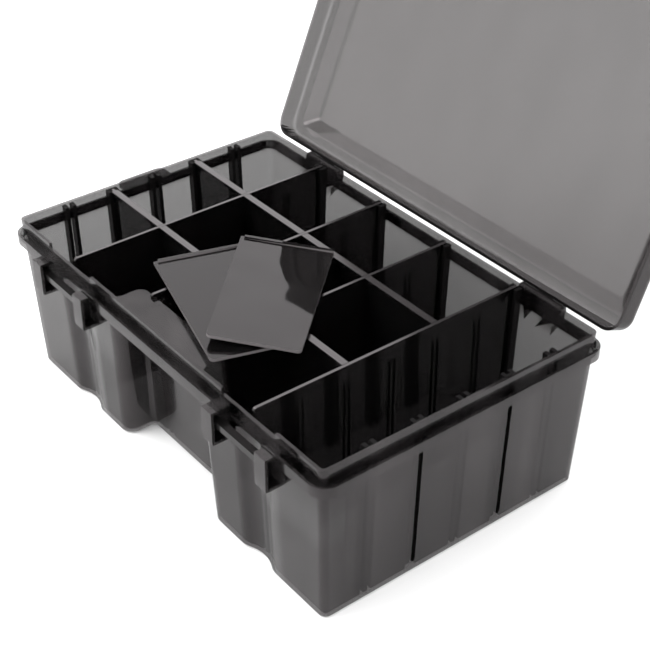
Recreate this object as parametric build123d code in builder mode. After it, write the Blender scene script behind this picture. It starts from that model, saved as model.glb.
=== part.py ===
import os
from math import acos, asin, atan, atan2, copysign, cos, degrees, hypot, radians, sin, sqrt, tan

from build123d import *

# A smoke-tinted tackle box: a drafted tub with a hand recess in its front, four long
# dividers and ten short ones that slide into ribs, and a shallow lid on two rear hinges.
# Origin at the middle of the tub's underside, +X along the front, +Y towards the hinges.

os.makedirs("parts", exist_ok=True)

# tub
rim_length = 350.0  # outside of the rim, along X
rim_width = 220.0  # outside of the rim, along Y
tub_height = 121.5
wall = 2.2
floor_thickness = 2.6
draft = 2.1  # degrees, every upright wall leans out by this much
rim_radius = 5.0
foot_bevel = 1.8

# lip that runs round the tub below the rim, with a gutter between the two
lip_reach = 4.6  # outside of the lip beyond the rim
lip_thickness = 1.9
lip_radius = 12.0
lip_drop = 10.0  # top of the lip below the rim
gutter_depth = 5.0
gutter_floor = 2.4
web_thickness = 1.2
web_height = 2.8
web_pitch = 5.6  # between the two webs at a corner

# hand recess in the middle of the front wall
recess_width = 103.0
recess_depth = 22.0
recess_roof = 3.4  # top of its roof below the rim
curtain_drop = 26.5  # lower edge of the strip in front of it, below the rim
tower_radius = 9.0
recess_radius = 4.0

# latch stations
station_inset = 71.2  # middle of a station from the end of the rim
pocket_half = 18.0
pocket_depth = 4.5
pocket_radius = 13.0
bracket_pitch = 54.4
bracket_width = 10.8
bracket_reach = 11.5  # front of the bracket beyond the rim
bracket_drop = 11.0  # its top below the rim
bracket_height = 24.5
bracket_wall = 2.0
bracket_radius = 1.6
notch_depth = 4.2
keeper_drop = 25.9  # underside of the keeper below the rim
keeper_height = 7.6
keeper_reach = 8.4  # front of the keeper beyond the rim
keeper_depth = 5.2
keeper_bevel = 2.4

# dividers
divider_thickness = 2.2
divider_pitch = 69.3
divider_drop = 0.3  # top of every divider below the rim
divider_ear = 3.0  # how far a front end reaches over the ledge under it
divider_radius = 2.0
comb_thickness = 1.3
comb_depth = 1.3
comb_gap = 2.6
comb_drop = 12.5  # top of the dividers' own ribs below the rim
comb_foot = 4.0
plate_thickness = 2.0
plate_radius = 3.0
rail_width = 5.0
rail_height = 2.4
cross_pitch = 36.0  # between the five cross slots

# guide ribs inside the tub
guide_gap = 3.0
guide_thickness = 2.8
guide_depth = 5.4
guide_drop = 1.0  # top of the guides below the rim
flute_pad = 2.6  # wall made up behind an outside flute
flute_width = 3.4
flute_depth = 2.8
flute_drop = 19.5
flute_foot = 8.6

# lid
lid_wall = 2.0
lid_skirt = 15.5
lid_border = 9.0
lid_ramp = 8.0
lid_rise = 7.0
lid_radius = 4.0
lid_panel_radius = 6.0
lid_open = 112.8  # degrees, where it leans back on its heels

# hinges
hinge_inset = 58.8  # middle of a hinge from the end of the rim
hinge_back = 3.9  # pin centre behind the lid's rear face
hinge_lift = 0.8  # pin centre above the lip
knuckle_radius = 3.6
lid_knuckle = 10.0
tub_knuckle = 13.6
pin_diameter = 3.0
head_diameter = 5.0
head_thickness = 1.0
heel_length = 5.2
lug_drop = 8.0  # foot of the tub's lugs below the flange

# latches
latch_width = 40.0
latch_thickness = 2.4
latch_pin = 2.4
latch_radius = 2.7
latch_lug = 22.0
latch_offset = 3.2  # latch pin in front of the lid's front face
latch_rise = 6.5  # latch pin above the lip
latch_hook = 3.0
latch_tail = 7.0
latch_flare = 3.0

# side tab
tab_width = 40.0
tab_reach = 13.4
tab_thickness = 2.4
tab_radius = 6.0

# where the two spare dividers lie on top of the others
lower_x = 3.5
lower_y = -56.7
lower_turn = 72.5
upper_x = 17.0
upper_y = -31.6
upper_turn = 42.1
upper_lift = 6.16  # its middle above the dividers' tops
upper_pitch = -0.38
upper_roll = 4.98

# fits
clearance = 0.3
pin_fit = 0.06
stop_gap = 0.1

# sizes that follow
slope = tan(radians(draft))
half_x = rim_length / 2
half_y = rim_width / 2
lip_top = tub_height - lip_drop
flange_top = lip_top - gutter_depth
flange_low = flange_top - gutter_floor
roof_top = tub_height - recess_roof
curtain_low = tub_height - curtain_drop
guide_top = tub_height - guide_drop
divider_top = tub_height - divider_drop
divider_low = floor_thickness + clearance
divider_xs = [(i - 1.5) * divider_pitch for i in range(4)]
cross_ys = [(i - 2) * cross_pitch for i in range(5)]
loaded_ys = [-cross_pitch, cross_pitch]
stations = [station_inset - half_x, half_x - station_inset]
hinge_xs = [hinge_inset - half_x, half_x - hinge_inset]
hinge_y = half_y + lip_reach + hinge_back
hinge_z = lip_top + hinge_lift
lid_low = lip_top + clearance
lid_border_top = lid_low + lid_skirt
latch_y = -(half_y + lip_reach + latch_offset)
latch_z = lip_top + latch_rise


def inset(z):
    """How far an upright wall stands in at this height from its place at the rim."""
    return (tub_height - z) * slope


def mouth_half(z):
    """Half the width of the hand recess at this height."""
    return recess_width / 2 - inset(0) + inset(z)


def wall_outline(z, inwards=0.0, recessed=True, pocketed=True):
    """Plan of the tub's wall at height z, moved inwards from its outer face."""
    front = -half_y + inset(z)
    side = half_x - inset(z)
    mouth = mouth_half(z)
    back = front + recess_depth
    turn = 2 * atan(pocket_depth / pocket_half)
    hollow = pocket_half / sin(turn) - pocket_radius
    with BuildSketch(Plane.XY.offset(z)) as plan:
        with BuildLine():
            here = (-side, front)
            for at in stations:
                if pocketed:
                    edge = Line(here, (at - pocket_half, front))
                    first = JernArc(edge @ 1, (1, 0), pocket_radius, degrees(turn))
                    second = JernArc(first @ 1, first % 1, hollow, -2 * degrees(turn))
                    third = JernArc(second @ 1, second % 1, pocket_radius, degrees(turn))
                    here = third @ 1
                if recessed and at < 0:
                    Polyline(here, (-mouth, front), (-mouth, back), (mouth, back), (mouth, front))
                    here = (mouth, front)
            Polyline(here, (side, front), (side, -front), (-side, -front), (-side, front))
        make_face()
        fillet(plan.vertices().filter_by(lambda v: abs(v.X) > side - 0.01), rim_radius)
        if recessed:
            for y, radius in ((front, tower_radius), (back, recess_radius)):
                ends = plan.vertices().filter_by(lambda v: abs(abs(v.X) - mouth) < 0.01)
                fillet(ends.filter_by(lambda v: abs(v.Y - y) < 0.01), radius)
        if inwards:
            offset(amount=-inwards)
    return plan.sketch


def recess_outline(z):
    """Plan of the hand recess at height z, behind the front wall."""
    with BuildSketch(Plane.XY.offset(z)) as plan:
        with Locations((0, -half_y + inset(z) + recess_depth)):
            Rectangle(
                2 * mouth_half(z), recess_depth - wall, align=(Align.CENTER, Align.MAX)
            )
        fillet(plan.vertices().group_by(Axis.Y)[-1], recess_radius)
    return plan.sketch


def wall_slice(low, high, inwards=0.0, recessed=True, pocketed=True, mode=Mode.ADD):
    """The drafted body between two heights."""
    loft([wall_outline(z, inwards, recessed, pocketed) for z in (low, high)], mode=mode)


def end_rib(side, y, thickness, depth, low, high):
    """An upright rib on the inside of an end wall, its free edge along the draft."""
    with BuildSketch(Plane.XZ.offset(thickness / 2 - y)) as rib:
        with BuildLine():
            Polyline(
                (side * (half_x - inset(low) - wall / 2), low),
                (side * (half_x - inset(low) - wall - depth), low),
                (side * (half_x - inset(high) - wall - depth), high),
                (side * (half_x - inset(high) - wall / 2), high),
                close=True,
            )
        make_face()
    extrude(rib.sketch, amount=thickness, dir=(0, 1, 0))


def long_rib(x, back, face, low, high):
    """An upright rib on the inside of the front (back=-1) or rear wall; face is where the
    wall's inner face would stand at the rim."""
    with BuildSketch(Plane.YZ.offset(x - guide_thickness / 2)) as rib:
        with BuildLine():
            Polyline(
                (face - back * (inset(low) - wall / 2), low),
                (face - back * (inset(low) + guide_depth), low),
                (face - back * (inset(high) + guide_depth), high),
                (face - back * (inset(high) - wall / 2), high),
                close=True,
            )
        make_face()
    extrude(rib.sketch, amount=guide_thickness, dir=(1, 0, 0))


rear_face = half_y - wall
pocket_face = -half_y + pocket_depth + wall
recess_face = -half_y + recess_depth + wall
lip_length = rim_length + 2 * lip_reach
lip_width = rim_width + 2 * lip_reach
rib_offset = (guide_gap + guide_thickness) / 2

with BuildPart() as tub:
    loft([wall_outline(0, foot_bevel), wall_outline(foot_bevel)])
    wall_slice(foot_bevel, curtain_low)
    wall_slice(curtain_low, flange_low, recessed=False)
    wall_slice(flange_low, tub_height, recessed=False, pocketed=False)
    # the hand recess goes on up behind a strip of the front wall
    loft([recess_outline(z) for z in (curtain_low, roof_top - wall)], mode=Mode.SUBTRACT)

    # lip, gutter and the webs across the gutter's corners
    with BuildSketch(Plane.XY.offset(flange_low)):
        RectangleRounded(lip_length, lip_width, lip_radius)
        RectangleRounded(
            rim_length - 2 * inset(flange_low) - wall,
            rim_width - 2 * inset(flange_low) - wall,
            rim_radius - wall / 2,
            mode=Mode.SUBTRACT,
        )
    extrude(amount=gutter_floor)
    with BuildSketch(Plane.XY.offset(flange_top)):
        RectangleRounded(lip_length, lip_width, lip_radius)
        offset(amount=-lip_thickness, mode=Mode.SUBTRACT)
    extrude(amount=gutter_depth)
    web_start = rim_radius - wall / 2
    web_end = lip_radius - lip_thickness / 2 - (lip_radius - lip_reach - rim_radius) * sqrt(2)
    for turn in (45, 135, 225, 315):
        corner = (
            copysign(half_x - rim_radius, cos(radians(turn))),
            copysign(half_y - rim_radius, sin(radians(turn))),
        )
        with BuildSketch(Plane.XY.offset(flange_top)):
            with Locations(Location(corner, turn)):
                with Locations((web_start, -web_pitch / 2), (web_start, web_pitch / 2)):
                    Rectangle(
                        web_end - web_start, web_thickness, align=(Align.MIN, Align.CENTER)
                    )
        extrude(amount=web_height)

    # lugs behind the hinges
    for at in hinge_xs:
        for side in (-1, 1):
            start = at + side * (lid_knuckle / 2 + clearance)
            with BuildSketch(Plane.YZ.offset(start)) as lug:
                with BuildLine():
                    Polyline(
                        (half_y - wall, flange_low - lug_drop),
                        (hinge_y + knuckle_radius * 0.6, flange_low),
                        (hinge_y + knuckle_radius, hinge_z),
                        (hinge_y, hinge_z),
                        (half_y + lip_reach - lip_thickness / 2, lip_top - clearance),
                        (half_y + lip_reach - lip_thickness / 2, flange_low),
                        (half_y - wall, flange_low),
                        close=True,
                    )
                make_face()
                with Locations((hinge_y, hinge_z)):
                    Circle(knuckle_radius)
            extrude(amount=tub_knuckle, dir=(side, 0, 0))

    # side tab
    with BuildSketch(Plane.XY.offset(lip_top - clearance - tab_thickness)) as tab:
        with Locations((-lip_length / 2, 0)):
            RectangleRounded(2 * tab_reach, tab_width, tab_radius)
        with Locations((-lip_length / 2 + tab_reach / 2 + lip_thickness / 2, 0)):
            Rectangle(tab_reach, tab_width + 1, mode=Mode.SUBTRACT)
    extrude(amount=tab_thickness)

    # inside
    wall_slice(floor_thickness, flange_low + wall, inwards=wall, mode=Mode.SUBTRACT)
    wall_slice(flange_low + wall, roof_top, inwards=wall, pocketed=False, mode=Mode.SUBTRACT)
    wall_slice(
        roof_top, tub_height, inwards=wall, recessed=False, pocketed=False, mode=Mode.SUBTRACT
    )

    # guide ribs for the short dividers, with a flute outside the loaded pairs
    for side in (-1, 1):
        for y in cross_ys:
            for shift in (-rib_offset, rib_offset):
                end_rib(side, y + shift, guide_thickness, guide_depth, wall, guide_top)
            if y in loaded_ys:
                end_rib(side, y, guide_gap + wall, flute_pad, wall, guide_top)
                start = flute_foot + flute_width / 2
                face = Plane(
                    origin=(side * (half_x - inset(start)), y, start),
                    x_dir=(0, side, 0),
                    z_dir=(side * cos(radians(draft)), 0, -sin(radians(draft))),
                )
                with BuildSketch(face.offset(-flute_depth)):
                    Circle(flute_width / 2)
                    Rectangle(
                        flute_width,
                        tub_height - flute_drop - start,
                        align=(Align.CENTER, Align.MIN),
                    )
                extrude(amount=flute_depth + 1, mode=Mode.SUBTRACT)
    # guide ribs for the long dividers
    for x in divider_xs:
        for shift in (-rib_offset, rib_offset):
            long_rib(x + shift, 1, rear_face, wall, guide_top)
            if abs(x) > recess_width / 2:
                long_rib(x + shift, -1, pocket_face, wall, flange_low)
            else:
                long_rib(x + shift, -1, recess_face, wall, roof_top - wall)

    # latch stations
    for at in stations:
        inner = bracket_pitch / 2 - bracket_width / 2
        outer = bracket_pitch / 2 + bracket_width / 2
        with Locations((at, -half_y, flange_low - clearance)):
            Box(
                2 * inner,
                2 * lip_reach + bracket_reach,
                lip_drop + gutter_depth,
                align=(Align.CENTER, Align.MAX, Align.MIN),
                mode=Mode.SUBTRACT,
            )
        with Locations((at, -half_y + wall / 2, tub_height - notch_depth)):
            Box(
                2 * inner + bracket_width,
                2 * wall,
                notch_depth,
                align=(Align.CENTER, Align.CENTER, Align.MIN),
                mode=Mode.SUBTRACT,
            )
        bracket_top = tub_height - bracket_drop
        for side in (-1, 1):
            with BuildSketch(Plane.YZ.offset(at + side * inner)) as bracket:
                with BuildLine():
                    Polyline(
                        (-half_y + wall / 2, bracket_top),
                        (-half_y - bracket_reach, bracket_top),
                        (-half_y - bracket_reach, bracket_top - bracket_height),
                        (-half_y + inset(bracket_top) + wall, bracket_top - bracket_height),
                        close=True,
                    )
                make_face()
                front_edge = bracket.vertices().group_by(Axis.X)[0]
                fillet(front_edge.sort_by(Axis.Y)[0], bracket_radius)
            extrude(amount=bracket_width, dir=(side, 0, 0))
            # every bracket is open on its +X side
            with Locations(
                (
                    at + side * bracket_pitch / 2 - bracket_width / 2 + bracket_wall,
                    -half_y - bracket_reach + bracket_wall,
                    bracket_top - bracket_height + bracket_wall,
                )
            ):
                Box(
                    bracket_width - bracket_wall,
                    bracket_reach - bracket_wall - clearance,
                    bracket_height - 2 * bracket_wall,
                    align=(Align.MIN, Align.MIN, Align.MIN),
                    mode=Mode.SUBTRACT,
                )
        with BuildSketch(Plane.YZ.offset(at - outer + bracket_wall / 2)):
            front = -half_y - keeper_reach
            low = tub_height - keeper_drop
            with BuildLine():
                Polyline(
                    (front, low + keeper_height),
                    (front, low + 1.3 * keeper_bevel),
                    (front + keeper_bevel, low),
                    (front + keeper_depth, low),
                    (front + keeper_depth, low + keeper_height),
                    close=True,
                )
            make_face()
        extrude(amount=bracket_pitch, dir=(1, 0, 0))

    # hinge bores
    for at in hinge_xs:
        with BuildSketch(Plane.YZ.offset(at)) as bore:
            with Locations((hinge_y, hinge_z)):
                Circle(pin_diameter / 2 + pin_fit)
        extrude(amount=lid_knuckle + tub_knuckle, both=True, mode=Mode.SUBTRACT)

tub.part.label = "tub"
export_step(tub.part, "parts/tub.step")


def long_divider(face, ledge):
    """A long divider at X = 0; face is the front wall's inner face at the rim, and above
    the ledge the divider reaches further forward."""
    low, top = divider_low, divider_top
    with BuildPart() as divider:
        with BuildSketch(Plane.YZ) as side:
            with BuildLine():
                Polyline(
                    (face + inset(low) + clearance, low),
                    (face + inset(ledge) + clearance, ledge + clearance),
                    (face + inset(ledge) + clearance - divider_ear, ledge + clearance),
                    (face + inset(top) + clearance - divider_ear, top),
                    (rear_face - inset(top) - clearance, top),
                    (rear_face - inset(low) - clearance, low),
                    close=True,
                )
            make_face()
            fillet(side.vertices().group_by(Axis.Y)[-1], divider_radius)
        extrude(amount=divider_thickness / 2, both=True)
        # rib pairs on both faces at every cross slot
        low, high = divider_low + comb_foot, tub_height - comb_drop
        shift = (comb_gap + comb_thickness) / 2
        with Locations(*[(0, y + s * shift, low) for y in cross_ys for s in (-1, 1)]):
            Box(
                divider_thickness + 2 * comb_depth,
                comb_thickness,
                high - low,
                align=(Align.CENTER, Align.CENTER, Align.MIN),
            )
    return divider.part


def cross_divider(walled):
    """A short divider centred in its bay; a walled one leans back on its left."""
    half = (divider_pitch - divider_thickness) / 2 - clearance
    low, top = divider_low, divider_top
    to_wall = half_x - wall - 2 * divider_pitch - clearance
    edges = [half, half]
    rail_end = half
    if walled:
        edges = [to_wall - flute_pad - inset(z) for z in (low, top)]
        rail_end = to_wall - guide_depth - inset(top - rail_height)
    with BuildPart() as plate:
        with BuildSketch(Plane.XZ) as face:
            with BuildLine():
                Polyline((-edges[0], low), (half, low), (half, top), (-edges[1], top), close=True)
            make_face()
            fillet(face.vertices().group_by(Axis.Y)[0], plate_radius)
        extrude(amount=plate_thickness / 2, both=True)
        with Locations(((half - rail_end) / 2, 0, top)):
            Box(
                half + rail_end,
                rail_width,
                rail_height,
                align=(Align.CENTER, Align.CENTER, Align.MAX),
            )
    return plate.part


def ship(piece, name):
    piece.label = name
    export_step(piece, f"parts/{name}.step")


for i, x in enumerate(divider_xs):
    face, ledge = (pocket_face, flange_low + wall) if i in (0, 3) else (recess_face, roof_top)
    ship(long_divider(face, ledge).moved(Location((x, 0, 0))), f"long_divider_{i + 1}")
inner_plate = cross_divider(False)
wall_plate = cross_divider(True)
for row, y in enumerate(loaded_ys):
    for column in range(4):
        plate = inner_plate if column else wall_plate
        x = (column - 2) * divider_pitch
        name = f"short_divider_{'front' if row == 0 else 'rear'}_{column + 1}"
        ship(plate.moved(Location((x, y, 0))), name)

# the two spare short dividers, lying on the rest
middle = (divider_low + divider_top) / 2
half_tall = (divider_top - divider_low) / 2
lean = degrees(asin((rail_width - plate_thickness) / half_tall / 4))


def laid(x, y, z, turn, pitch, roll):
    """Lay a wall plate flat: its rail along `turn`, then tipped about and across the rail."""
    flat = Location((0, 0, 0), (-90, 0, 0)) * Location((0, 0, -middle))
    place = Location((x, y, z)) * Location((0, 0, 0), (0, 0, 1), turn)
    tip = Location((0, 0, 0), (1, 0, 0), pitch) * Location((0, 0, 0), (0, 1, 0), roll)
    return wall_plate.moved(place * tip * flat)


lower_z = divider_top + clearance + plate_thickness / 2 + sin(radians(lean)) * half_tall
ship(laid(lower_x, lower_y, lower_z, lower_turn, lean, 0), "spare_divider_lower")
upper_z = divider_top + upper_lift
ship(laid(upper_x, upper_y, upper_z, upper_turn, upper_pitch, upper_roll), "spare_divider_upper")


# lid, drawn closed and then swung open
def lid_body(inwards):
    """The lid's outside moved inwards, as a solid."""
    length, width = lip_length - 2 * inwards, lip_width - 2 * inwards
    radius, top = lip_radius - inwards, lid_border_top - inwards
    with BuildPart() as body:
        with BuildSketch(Plane.XY.offset(lid_low)):
            RectangleRounded(length, width, radius)
        extrude(amount=lid_skirt - inwards)
        if not inwards:
            fillet(body.faces().sort_by(Axis.Z)[-1].edges(), lid_radius)
        for height, border in ((top, lid_border), (top + lid_rise, lid_border + lid_ramp)):
            with BuildSketch(Plane.XY.offset(height)):
                RectangleRounded(length - 2 * border, width - 2 * border, lid_panel_radius)
        loft()
    return body.part


lid_shell = lid_body(0) - lid_body(lid_wall)
hinge_axis = Axis((0, hinge_y, hinge_z), (1, 0, 0))
with BuildPart() as lid:
    add(lid_shell)
    for at in hinge_xs:
        with BuildSketch(Plane.YZ.offset(at)):
            with BuildLine():
                Polyline(
                    (half_y + lip_reach - lid_wall / 2, lid_low),
                    (hinge_y, lid_low),
                    (hinge_y, hinge_z + knuckle_radius),
                    (half_y + lip_reach - lid_wall / 2, hinge_z + knuckle_radius + 2),
                    close=True,
                )
            make_face()
            with Locations((hinge_y, hinge_z)):
                Circle(knuckle_radius)
            # heel that meets the tub's lip when the lid is open
            with Locations(Location((hinge_y, hinge_z), lid_open)):
                Rectangle(
                    hinge_back - stop_gap, heel_length, align=(Align.MAX, Align.MAX)
                )
        extrude(amount=lid_knuckle / 2, both=True)
        with Locations(Location((at, hinge_y, hinge_z), (0, 90, 0))):
            Cylinder(pin_diameter / 2 + pin_fit, lid_knuckle + 2, mode=Mode.SUBTRACT)
    for at in stations:
        with BuildSketch(Plane.YZ.offset(at)):
            with Locations((latch_y, latch_z)):
                Rectangle(
                    latch_offset + lid_wall / 2, 2 * latch_radius, align=(Align.MIN, Align.CENTER)
                )
                Circle(latch_radius)
                Circle(latch_pin / 2, mode=Mode.SUBTRACT)
        extrude(amount=latch_lug / 2, both=True)
ship(lid.part.rotate(hinge_axis, -lid_open), "lid")

for name, at in zip(("left", "right"), hinge_xs):
    with BuildPart() as hinge_pin:
        outward = 1 if at > 0 else -1
        reach = lid_knuckle / 2 + clearance + tub_knuckle
        with BuildSketch(Plane.YZ.offset(at - outward * reach)):
            with Locations((hinge_y, hinge_z)):
                Circle(pin_diameter / 2)
        extrude(amount=2 * reach + clearance, dir=(outward, 0, 0))
        with BuildSketch(Plane.YZ.offset(at + outward * (reach + clearance / 2))):
            with Locations((hinge_y, hinge_z)):
                Circle(head_diameter / 2)
        extrude(amount=head_thickness, dir=(outward, 0, 0))
    ship(hinge_pin.part, f"hinge_pin_{name}")

# latches, drawn shut and then swung up out of the way
keeper_front = -half_y - keeper_reach
keeper_low = tub_height - keeper_drop
plate_back = keeper_front - clearance
plate_front = plate_back - latch_thickness
plate_top = latch_z - latch_radius - clearance
keeper_back = keeper_front + keeper_depth
sweep = hypot(keeper_back - latch_y, keeper_low - latch_z) + clearance
hook_end = keeper_front + latch_hook
hook_angle = [asin((y - latch_y) / sweep) for y in (plate_back - 0.5, hook_end)]
hook_middle = sum(hook_angle) / 2
hook_arc = [
    (latch_y + sweep * sin(a), latch_z - sweep * cos(a))
    for a in (hook_angle[0], hook_middle, hook_angle[1])
]
hook_low = latch_z - sweep - latch_thickness
corner_y = -(half_y + lip_reach) + lid_radius - latch_y
corner_z = lid_border_top - lid_radius - latch_z
front_offset = latch_y - plate_front
latch_swing = degrees(
    atan2(corner_z, -corner_y)
    + acos((front_offset + lid_radius + clearance) / hypot(corner_y, corner_z))
)
with BuildPart() as latch_shape:
    with BuildSketch(Plane.YZ):
        with BuildLine():
            Polyline(hook_arc[0], (plate_back, plate_top), (plate_front, plate_top))
            Polyline(
                (plate_front, plate_top),
                (plate_front, hook_low),
                (plate_front - latch_flare, hook_low - latch_tail),
                (plate_front - latch_flare + latch_thickness, hook_low - latch_tail),
                (plate_back, hook_low),
                (hook_end, hook_low),
                hook_arc[2],
            )
            ThreePointArc(hook_arc[2], hook_arc[1], hook_arc[0])
        make_face()
    extrude(amount=latch_width / 2, both=True)
    for side in (-1, 1):
        with BuildSketch(Plane.YZ.offset(side * (latch_lug / 2 + clearance))):
            with BuildLine():
                Polyline(
                    (plate_front, plate_top - 2),
                    (plate_front, plate_top + 0.6),
                    (latch_y - latch_radius, latch_z),
                    (latch_y, latch_z),
                    (plate_back, plate_top - 2),
                    close=True,
                )
            make_face()
            with Locations((latch_y, latch_z)):
                Circle(latch_radius)
        extrude(amount=(latch_width - latch_lug) / 2 - clearance, dir=(side, 0, 0))
    with Locations(Location((0, latch_y, latch_z), (0, 90, 0))):
        Cylinder(latch_pin / 2 + pin_fit, latch_width + 2, mode=Mode.SUBTRACT)
latch_axis = Axis((0, latch_y, latch_z), (1, 0, 0))
latch_open = latch_shape.part.rotate(latch_axis, -latch_swing).rotate(hinge_axis, -lid_open)
with BuildPart() as latch_pin_shape:
    with Locations(Location((0, latch_y, latch_z), (0, 90, 0))):
        Cylinder(latch_pin / 2, latch_width)
pin_open = latch_pin_shape.part.rotate(hinge_axis, -lid_open)
for name, at in zip(("left", "right"), stations):
    ship(latch_open.moved(Location((at, 0, 0))), f"latch_{name}")
    ship(pin_open.moved(Location((at, 0, 0))), f"latch_pin_{name}")
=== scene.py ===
import bpy
import bmesh
from mathutils import Vector, Matrix

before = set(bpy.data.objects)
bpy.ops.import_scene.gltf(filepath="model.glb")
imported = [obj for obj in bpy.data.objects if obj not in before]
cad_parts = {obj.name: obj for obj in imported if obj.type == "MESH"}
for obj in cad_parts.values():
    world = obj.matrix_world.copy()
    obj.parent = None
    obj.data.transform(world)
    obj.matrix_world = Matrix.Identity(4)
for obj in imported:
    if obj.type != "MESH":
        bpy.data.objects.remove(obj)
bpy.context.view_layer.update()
scene = bpy.context.scene


# small helpers for the node trees
def newMaterial(name):
    mat = bpy.data.materials.new(name)
    mat.use_nodes = True
    mat.node_tree.nodes.clear()
    return mat


def addNode(mat, kind, **sockets):
    node = mat.node_tree.nodes.new(kind)
    for key, value in sockets.items():
        node.inputs[key.replace("_", " ")].default_value = value
    return node


def join(mat, a, b):
    mat.node_tree.links.new(a, b)


def mathOf(mat, operation, first, second=None):
    node = addNode(mat, "ShaderNodeMath")
    node.operation = operation
    join(mat, first, node.inputs[0])
    if isinstance(second, float):
        node.inputs[1].default_value = second
    elif second is not None:
        join(mat, second, node.inputs[1])
    return node.outputs["Value"]


def rangeOf(mat, value, low, high, atLow, atHigh, curve="LINEAR"):
    node = addNode(mat, "ShaderNodeMapRange")
    node.interpolation_type = curve
    node.inputs["From Min"].default_value = low
    node.inputs["From Max"].default_value = high
    node.inputs["To Min"].default_value = atLow
    node.inputs["To Max"].default_value = atHigh
    join(mat, value, node.inputs["Value"])
    return node.outputs["Result"]


def easeOf(mat, value, low, high, atLow, atHigh):
    return rangeOf(mat, value, low, high, atLow, atHigh, "SMOOTHSTEP")


# the value times a factor, plus the rest
def sumOf(mat, value, factor, rest=None):
    node = addNode(mat, "ShaderNodeMath")
    node.operation = "MULTIPLY_ADD"
    node.inputs[1].default_value = factor
    node.inputs[2].default_value = 0.0
    join(mat, value, node.inputs[0])
    if rest is not None:
        join(mat, rest, node.inputs[2])
    return node.outputs["Value"]


def noiseOf(mat, vector, scale, detail, roughness):
    noise = addNode(mat, "ShaderNodeTexNoise", Scale=scale, Detail=detail, Roughness=roughness)
    join(mat, vector, noise.inputs["Vector"])
    return noise.outputs["Fac"]


# what all the smoke-tinted plastics share; heights and lengths in metres
plastic = {"ior": 1.50, "specularTint": (1.0, 0.915, 0.94, 1), "absorbed": (0.075, 0.045, 0.040, 1),
           "haze": (14.0, 3.0, 0.55), "hazeFrom": (0.3, 0.7), "hazeTo": (0.8, 1.35),
           "streak": (42.0, 2.0, 0.5), "streakFrom": (0.32, 0.68), "streakStretch": (1.0, 1.0, 0.03),
           "swell": (9.0, 1.0, 0.4), "swellHeight": 0.00008,
           "ripple": (20.0, 1.0, 0.4), "rippleHeight": 0.0015}

# each step runs across a pocket from one distance to another, and rises by a share of its depth
pocketWave = {"station": 0.1038, "front": -0.092, "fade": (0.055, 0.098),
              "steps": ((-0.014, 0.006, -0.32), (0.002, 0.028, 1.0), (0.0030, 0.0184, -1.4))}

# alpha and density make a clear skin over a body that darkens with its thickness
smokeSettings = {
    "wall": {"base": (0.011, 0.0100, 0.0102, 1), "rough": 0.10, "gloss": 0.5,
             "alpha": 0.60, "density": 120.0, "shadeStreaks": 0.9, "pockets": 0.0042},
    "lid": {"base": (0.016, 0.0148, 0.0150, 1), "rough": 0.10, "gloss": 0.5,
            "alpha": 0.50, "density": 360.0, "shadeStreaks": 0.4},
    # thick: opaque near black, partly the dark of thick plastic, partly painted shade in folds and
    # hollows
    "thick": {"base": (0.0045, 0.0042, 0.0042, 1), "rough": 0.16, "gloss": 0.16},
    # rail: a lighter, glossier opaque copy of the divider plastic, painted sheen on the divider tops
    "rail": {"base": (0.010, 0.0092, 0.0094, 1), "rough": 0.18, "gloss": 0.8},
    # shade: matte black painted shade on the top faces of those places
    "shade": {"base": (0.0045, 0.0042, 0.0042, 1), "rough": 0.5, "gloss": 0.05},
    # edge: a lighter opaque copy of the plate plastic, a painted highlight along plate rims
    "edge": {"base": (0.115, 0.106, 0.108, 1), "rough": 0.25, "gloss": 0.5},
    "divider": {"base": (0.004, 0.0038, 0.0038, 1), "rough": 0.06, "gloss": 0.45,
                "alpha": 0.75, "density": 900.0},
    "plate": {"base": (0.004, 0.0038, 0.0038, 1), "rough": 0.04, "gloss": 0.54,
              "alpha": 0.75, "density": 900.0},
    "bowedPlate": {"base": (0.004, 0.0038, 0.0038, 1), "rough": 0.03, "gloss": 0.66,
                   "alpha": 0.75, "density": 900.0, "bow": (-0.0535, -0.069, 0.0)},
    "latch": {"base": (0.014, 0.0138, 0.0135, 1), "rough": 0.16, "gloss": 0.5},
    "pin": {"base": (0.012, 0.012, 0.012, 1), "rough": 0.28, "gloss": 0.5},
}


# faint upright streaks of painted shade in the tint, at random places, standing in for the shade of the
# dividers seen through the wall
def paintedShadeStreaks(mat, place, base, shadeStreaks):
    stretch = addNode(mat, "ShaderNodeMapping", Scale=plastic["streakStretch"])
    join(mat, place, stretch.inputs["Vector"])
    run = noiseOf(mat, stretch.outputs["Vector"], *plastic["streak"])
    shade = addNode(mat, "ShaderNodeVectorMath")
    shade.operation = "SCALE"
    shade.inputs[0].default_value = base[:3]
    strength = rangeOf(mat, run, *plastic["streakFrom"], 1.0 - shadeStreaks, 1.0 + shadeStreaks)
    join(mat, strength, shade.inputs["Scale"])
    return shade.outputs["Vector"]


# each latch pocket dips softly on its left, and its right flank runs out in a wide, easy wave
def pocketHeight(mat, place, depth, rest):
    parts = addNode(mat, "ShaderNodeSeparateXYZ")
    join(mat, place, parts.inputs["Vector"])
    beside = mathOf(mat, "SUBTRACT", mathOf(mat, "ABSOLUTE", parts.outputs["X"]), pocketWave["station"])
    across = mathOf(mat, "MULTIPLY", beside, mathOf(mat, "SIGN", parts.outputs["X"]))
    steps = []
    for low, high, share in pocketWave["steps"]:
        steps.append(easeOf(mat, across, low, high, 0.0, depth * share))
    wave = mathOf(mat, "ADD", mathOf(mat, "ADD", steps[0], steps[1]), steps[2])
    below = easeOf(mat, parts.outputs["Z"], *pocketWave["fade"], 1.0, 0.0)
    front = mathOf(mat, "LESS_THAN", parts.outputs["Y"], pocketWave["front"])
    wave = mathOf(mat, "MULTIPLY", mathOf(mat, "MULTIPLY", wave, below), front)
    return sumOf(mat, wave, 1.0, rest)


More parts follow.
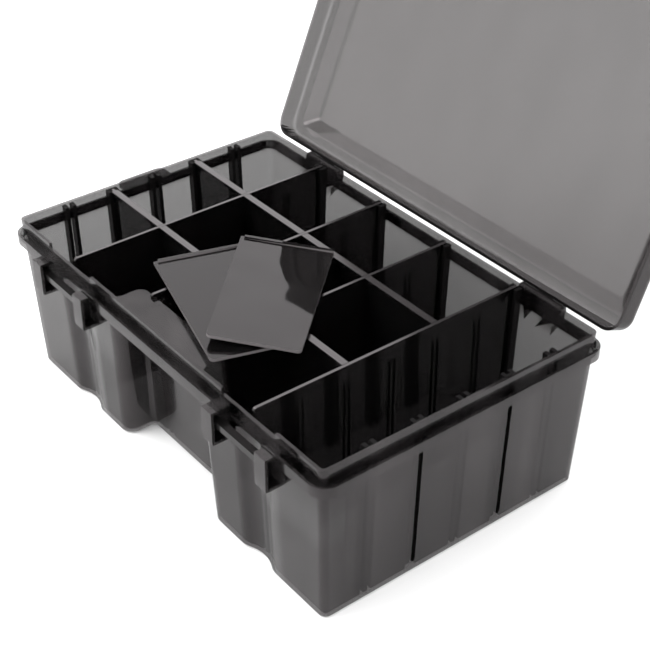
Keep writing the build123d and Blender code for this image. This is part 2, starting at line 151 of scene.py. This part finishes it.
# a thin loose plate is a little bowed and wavy, which its reflections show
def bowedHeight(mat, place, bow):
    lean = addNode(mat, "ShaderNodeVectorMath")
    lean.operation = "DOT_PRODUCT"
    lean.inputs[1].default_value = bow
    join(mat, place, lean.inputs[0])
    ripple = noiseOf(mat, place, *plastic["ripple"])
    return sumOf(mat, ripple, plastic["rippleHeight"], lean.outputs["Value"])


def smokePlastic(name, base, rough, gloss, alpha=1.0, density=0.0, shadeStreaks=0.0, pockets=0.0, bow=None):
    mat = newMaterial("smoke" + name[0].upper() + name[1:])
    out = addNode(mat, "ShaderNodeOutputMaterial")
    skin = addNode(mat, "ShaderNodeBsdfPrincipled", Alpha=alpha, IOR=plastic["ior"])
    skin.inputs["Base Color"].default_value = base
    skin.inputs["Specular IOR Level"].default_value = gloss
    skin.inputs["Specular Tint"].default_value = plastic["specularTint"]
    place = addNode(mat, "ShaderNodeTexCoord").outputs["Object"]
    # polish that wanders a little from place to place
    haze = noiseOf(mat, place, *plastic["haze"])
    smooth, dull = plastic["hazeTo"]
    spread = rangeOf(mat, haze, *plastic["hazeFrom"], rough * smooth, rough * dull)
    join(mat, spread, skin.inputs["Roughness"])
    # painted shade: random upright streaks darken and lighten the base colour
    if shadeStreaks:
        join(mat, paintedShadeStreaks(mat, place, base, shadeStreaks), skin.inputs["Base Color"])
    # the slow swell of a moulded wall
    height = sumOf(mat, noiseOf(mat, place, *plastic["swell"]), plastic["swellHeight"])
    if pockets:
        height = pocketHeight(mat, place, pockets, height)
    if bow:
        height = bowedHeight(mat, place, bow)
    bump = addNode(mat, "ShaderNodeBump", Strength=1.0, Distance=1.0)
    join(mat, height, bump.inputs["Height"])
    join(mat, bump.outputs["Normal"], skin.inputs["Normal"])
    join(mat, skin.outputs["BSDF"], out.inputs["Surface"])
    if density:
        fill = addNode(mat, "ShaderNodeVolumeAbsorption", Density=density)
        fill.inputs["Color"].default_value = plastic["absorbed"]
        join(mat, fill.outputs["Volume"], out.inputs["Volume"])
    return mat


smoke = {name: smokePlastic(name, **s) for name, s in smokeSettings.items()}


def finishOf(node):
    if "pin" in node:
        return smoke["pin"]
    if node.startswith("latch"):
        return smoke["latch"]
    if node.startswith("spare"):
        return smoke["bowedPlate" if node.endswith("upper") else "plate"]
    if "divider" in node:
        return smoke["divider"]
    return smoke["lid"] if node == "lid" else smoke["wall"]


# where the tub is painted black, in millimetres: partly the dark of thick plastic, partly painted shade
# in the gutter, the bracket hollows, the ribs and the flutes
tubZones = {"rim": (175.0, 110.0), "height": 121.5, "slope": 0.03667, "wall": 2.2, "floor": 4.0,
            "margin": 1.0, "facing": 0.7, "tab": (-170.0, 20.5),
            "gutter": (105.8, 107.2), "lipTop": 111.4, "lipStart": 1.5,
            "stations": (-103.8, 103.8), "keeper": (21.9, -118.6, -113.1, 95.4, 103.4),
            "bracket": (27.2, 5.5, -119.8, 87.8, 108.7),
            "pinAxis": (118.5, 112.3), "lug": (7.0, 18.0, 5.0), "knuckle": (7.0, 7.5),
            "ribDepth": 0.8, "endRibs": (140.0, 90.0), "rearRibs": (125.0, 80.0),
            "frontRibs": (-70.0, 0.8), "frontRibsAcross": ((85.0, 122.0), (28.0, 41.0)),
            "flute": (36.0, 1.9), "fluteDepth": (3.0, 0.15), "fluteHeight": (8.0, 103.0)}


# floor of the gutter, and the side of the lip that faces it, apart from where the tab is
def isGutter(x, y, z, normal):
    halfX, halfY = tubZones["rim"]
    tabX, tabY = tubZones["tab"]
    low, high = tubZones["gutter"]
    if x < tabX and abs(y) < tabY:
        return False
    margin = tubZones["margin"]
    beyond = abs(x) > halfX - margin or abs(y) > halfY - margin
    if beyond and normal.z > tubZones["facing"] and low < z < high:
        return True
    start = tubZones["lipStart"]
    outside = abs(x) > halfX + start or abs(y) > halfY + start
    inward = max(-normal.x * x / halfX, -normal.y * y / halfY)
    return outside and inward > tubZones["facing"] and low < z < tubZones["lipTop"]


# keeper bars, and the hollows of the brackets that hold them
def isBracket(x, y, z, normal):
    wallY = -tubZones["rim"][1] - tubZones["margin"]
    reach, front, back, low, high = tubZones["keeper"]
    pitch, half, plate, foot, top = tubZones["bracket"]
    for station in tubZones["stations"]:
        if abs(x - station) < reach and front < y < back and low < z < high:
            return True
        for side in (-1, 1):
            hollow = abs(x - station - side * pitch) < half and plate < y < wallY and foot < z < top
            if hollow and normal.x > -tubZones["facing"]:
                return True
    return False


def isLug(x, y, z, normal):
    pinY, pinZ = tubZones["pinAxis"]
    acrossY, acrossZ, out = tubZones["lug"]
    return abs(y - pinY) < acrossY and abs(z - pinZ) < acrossZ and y > tubZones["rim"][1] + out


# guide ribs inside the ends, the rear and the front
def isRib(x, y, z, normal):
    inset = (tubZones["height"] - z) * tubZones["slope"] + tubZones["wall"] + tubZones["ribDepth"]
    halfX, halfY = tubZones["rim"]
    inside = z > tubZones["floor"] and abs(y) < halfY - inset
    endX, endY = tubZones["endRibs"]
    rearX, rearY = tubZones["rearRibs"]
    if inside and abs(x) < halfX - inset:
        if abs(y) < endY and abs(x) > endX:
            return True
        if y > rearY and abs(x) < rearX:
            return True
    frontY, sideways = tubZones["frontRibs"]
    if inside and y < frontY and abs(normal.x) > sideways:
        return any(near < abs(x) < far for near, far in tubZones["frontRibsAcross"])
    return False


# flutes in the two ends
def isFlute(x, y, z, normal):
    outerX = tubZones["rim"][0] - (tubZones["height"] - z) * tubZones["slope"]
    middle, half = tubZones["flute"]
    deep, shallow = tubZones["fluteDepth"]
    low, high = tubZones["fluteHeight"]
    return abs(abs(y) - middle) < half and outerX - deep < abs(x) < outerX - shallow and low < z < high


# painted shade: thick plastic and shaded folds and hollows are painted near black
def isThickAndPaintedShade(at, normal):
    x, y, z = at * 1000.0
    return any(test(x, y, z, normal) for test in (isGutter, isBracket, isLug, isRib, isFlute))


# the lid's hinge knuckles, painted near black as thick plastic and painted shade
def isKnuckle(at, normal):
    x, y, z = at * 1000.0
    pinY, pinZ = tubZones["pinAxis"]
    acrossY, acrossZ = tubZones["knuckle"]
    return abs(y - pinY) < acrossY and abs(z - pinZ) < acrossZ


# the rim of a loose plate gets a painted highlight, a thin light line, apart from the end with its rail
plateHighlightEdge = {"railSide": Vector((-0.79, 0.61, 0.0)), "upright": 0.35, "railReach": 0.009}


def isPlateHighlightEdge(at, normal, railEnd):
    nearRail = at.dot(plateHighlightEdge["railSide"]) >= railEnd - plateHighlightEdge["railReach"]
    return abs(normal.z) < plateHighlightEdge["upright"] and not nearRail


topFaces = {"upward": 0.8, "above": 0.118}


def isTop(face):
    return face.normal.z > topFaces["upward"] and face.center.z > topFaces["above"]


# the slots of every node: its own finish first, then these
slots = {"thick": 1, "shade": 2, "rail": 3, "edge": 4}
darkParts = {"tub": isThickAndPaintedShade, "lid": isKnuckle}
for name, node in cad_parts.items():
    node.data.materials.clear()
    node.data.materials.append(finishOf(name))
    for finish in slots:
        node.data.materials.append(smoke[finish])
    railEnd = max(vertex.co.dot(plateHighlightEdge["railSide"]) for vertex in node.data.vertices)
    isDark = darkParts.get(name)
    count = 0
    for face in node.data.polygons:
        face.material_index = 0
        if isDark and isDark(face.center, face.normal):
            # painted shade: these faces take the near-black finish, their tops a matte black one
            face.material_index = slots["shade" if isTop(face) else "thick"]
            count += 1
        elif name.startswith("spare"):
            if isPlateHighlightEdge(face.center, face.normal, railEnd):
                # painted highlight along the plate's rim
                face.material_index = slots["edge"]
        elif "divider" in name and isTop(face):
            # painted sheen: divider tops lighter and glossier than their sides
            face.material_index = slots["rail"]
    # the count is of faces painted near black, for thick plastic and painted shade
    if isDark:
        print(name, "has", count, "of", len(node.data.polygons), "faces in thick plastic")
print("finishes on", len(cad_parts), "nodes")

# white table, lit from the front left so that the front wall mirrors the brightest part of it
studio = {"floor": 3.0, "floorColour": (0.83, 0.83, 0.83, 1), "floorRough": 0.7, "floorGloss": 0.2,
          "world": 2.1, "worldColour": (1.0, 1.0, 1.0, 1),
          "key": 34.0, "keyAt": (-0.9, -1.2, 1.7), "keySize": 1.4, "keyAim": (-0.25, -0.45, 0.0)}

floorMesh = bpy.data.meshes.new("floor")
bm = bmesh.new()
bmesh.ops.create_grid(bm, x_segments=1, y_segments=1, size=studio["floor"])
bm.to_mesh(floorMesh)
bm.free()
floor = bpy.data.objects.new("floor", floorMesh)
scene.collection.objects.link(floor)
paper = newMaterial("whiteTable")
paperOut = addNode(paper, "ShaderNodeOutputMaterial")
paperSkin = addNode(paper, "ShaderNodeBsdfPrincipled", Roughness=studio["floorRough"])
paperSkin.inputs["Base Color"].default_value = studio["floorColour"]
paperSkin.inputs["Specular IOR Level"].default_value = studio["floorGloss"]
join(paper, paperSkin.outputs["BSDF"], paperOut.inputs["Surface"])
floorMesh.materials.append(paper)

world = bpy.data.worlds.new("studio")
scene.world = world
world.use_nodes = True
world.node_tree.nodes["Background"].inputs["Color"].default_value = studio["worldColour"]
world.node_tree.nodes["Background"].inputs["Strength"].default_value = studio["world"]


def softLamp(name, at, power, size, aim):
    lamp = bpy.data.lights.new(name, "AREA")
    lamp.shape = "DISK"
    lamp.energy = power
    lamp.size = size
    holder = bpy.data.objects.new(name, lamp)
    scene.collection.objects.link(holder)
    holder.location = at
    holder.rotation_euler = (Vector(aim) - Vector(at)).to_track_quat("-Z", "Y").to_euler()


softLamp("keyLight", studio["keyAt"], studio["key"], studio["keySize"], studio["keyAim"])

shot = {"at": (0.66369, -0.48765, 0.65068), "right": (0.61160, 0.79116, -0.00332),
        "down": (0.44702, -0.34903, -0.82362), "ahead": (-0.65277, 0.50224, -0.56714),
        "lens": 81.34, "sensor": 36.0, "shift": (0.00894, -0.01043), "near": 0.01}
lensData = bpy.data.cameras.new("camera")
camera = bpy.data.objects.new("camera", lensData)
scene.collection.objects.link(camera)
turn = Matrix((Vector(shot["right"]), -Vector(shot["down"]), -Vector(shot["ahead"]))).transposed()
camera.matrix_world = Matrix.Translation(shot["at"]) @ turn.to_4x4()
lensData.sensor_width = shot["sensor"]
lensData.sensor_fit = "HORIZONTAL"
lensData.lens = shot["lens"]
lensData.shift_x = shot["shift"][0]
lensData.shift_y = shot["shift"][1]
lensData.clip_start = shot["near"]
scene.camera = camera
scene.view_settings.view_transform = "Standard"
print("camera and lights are up")
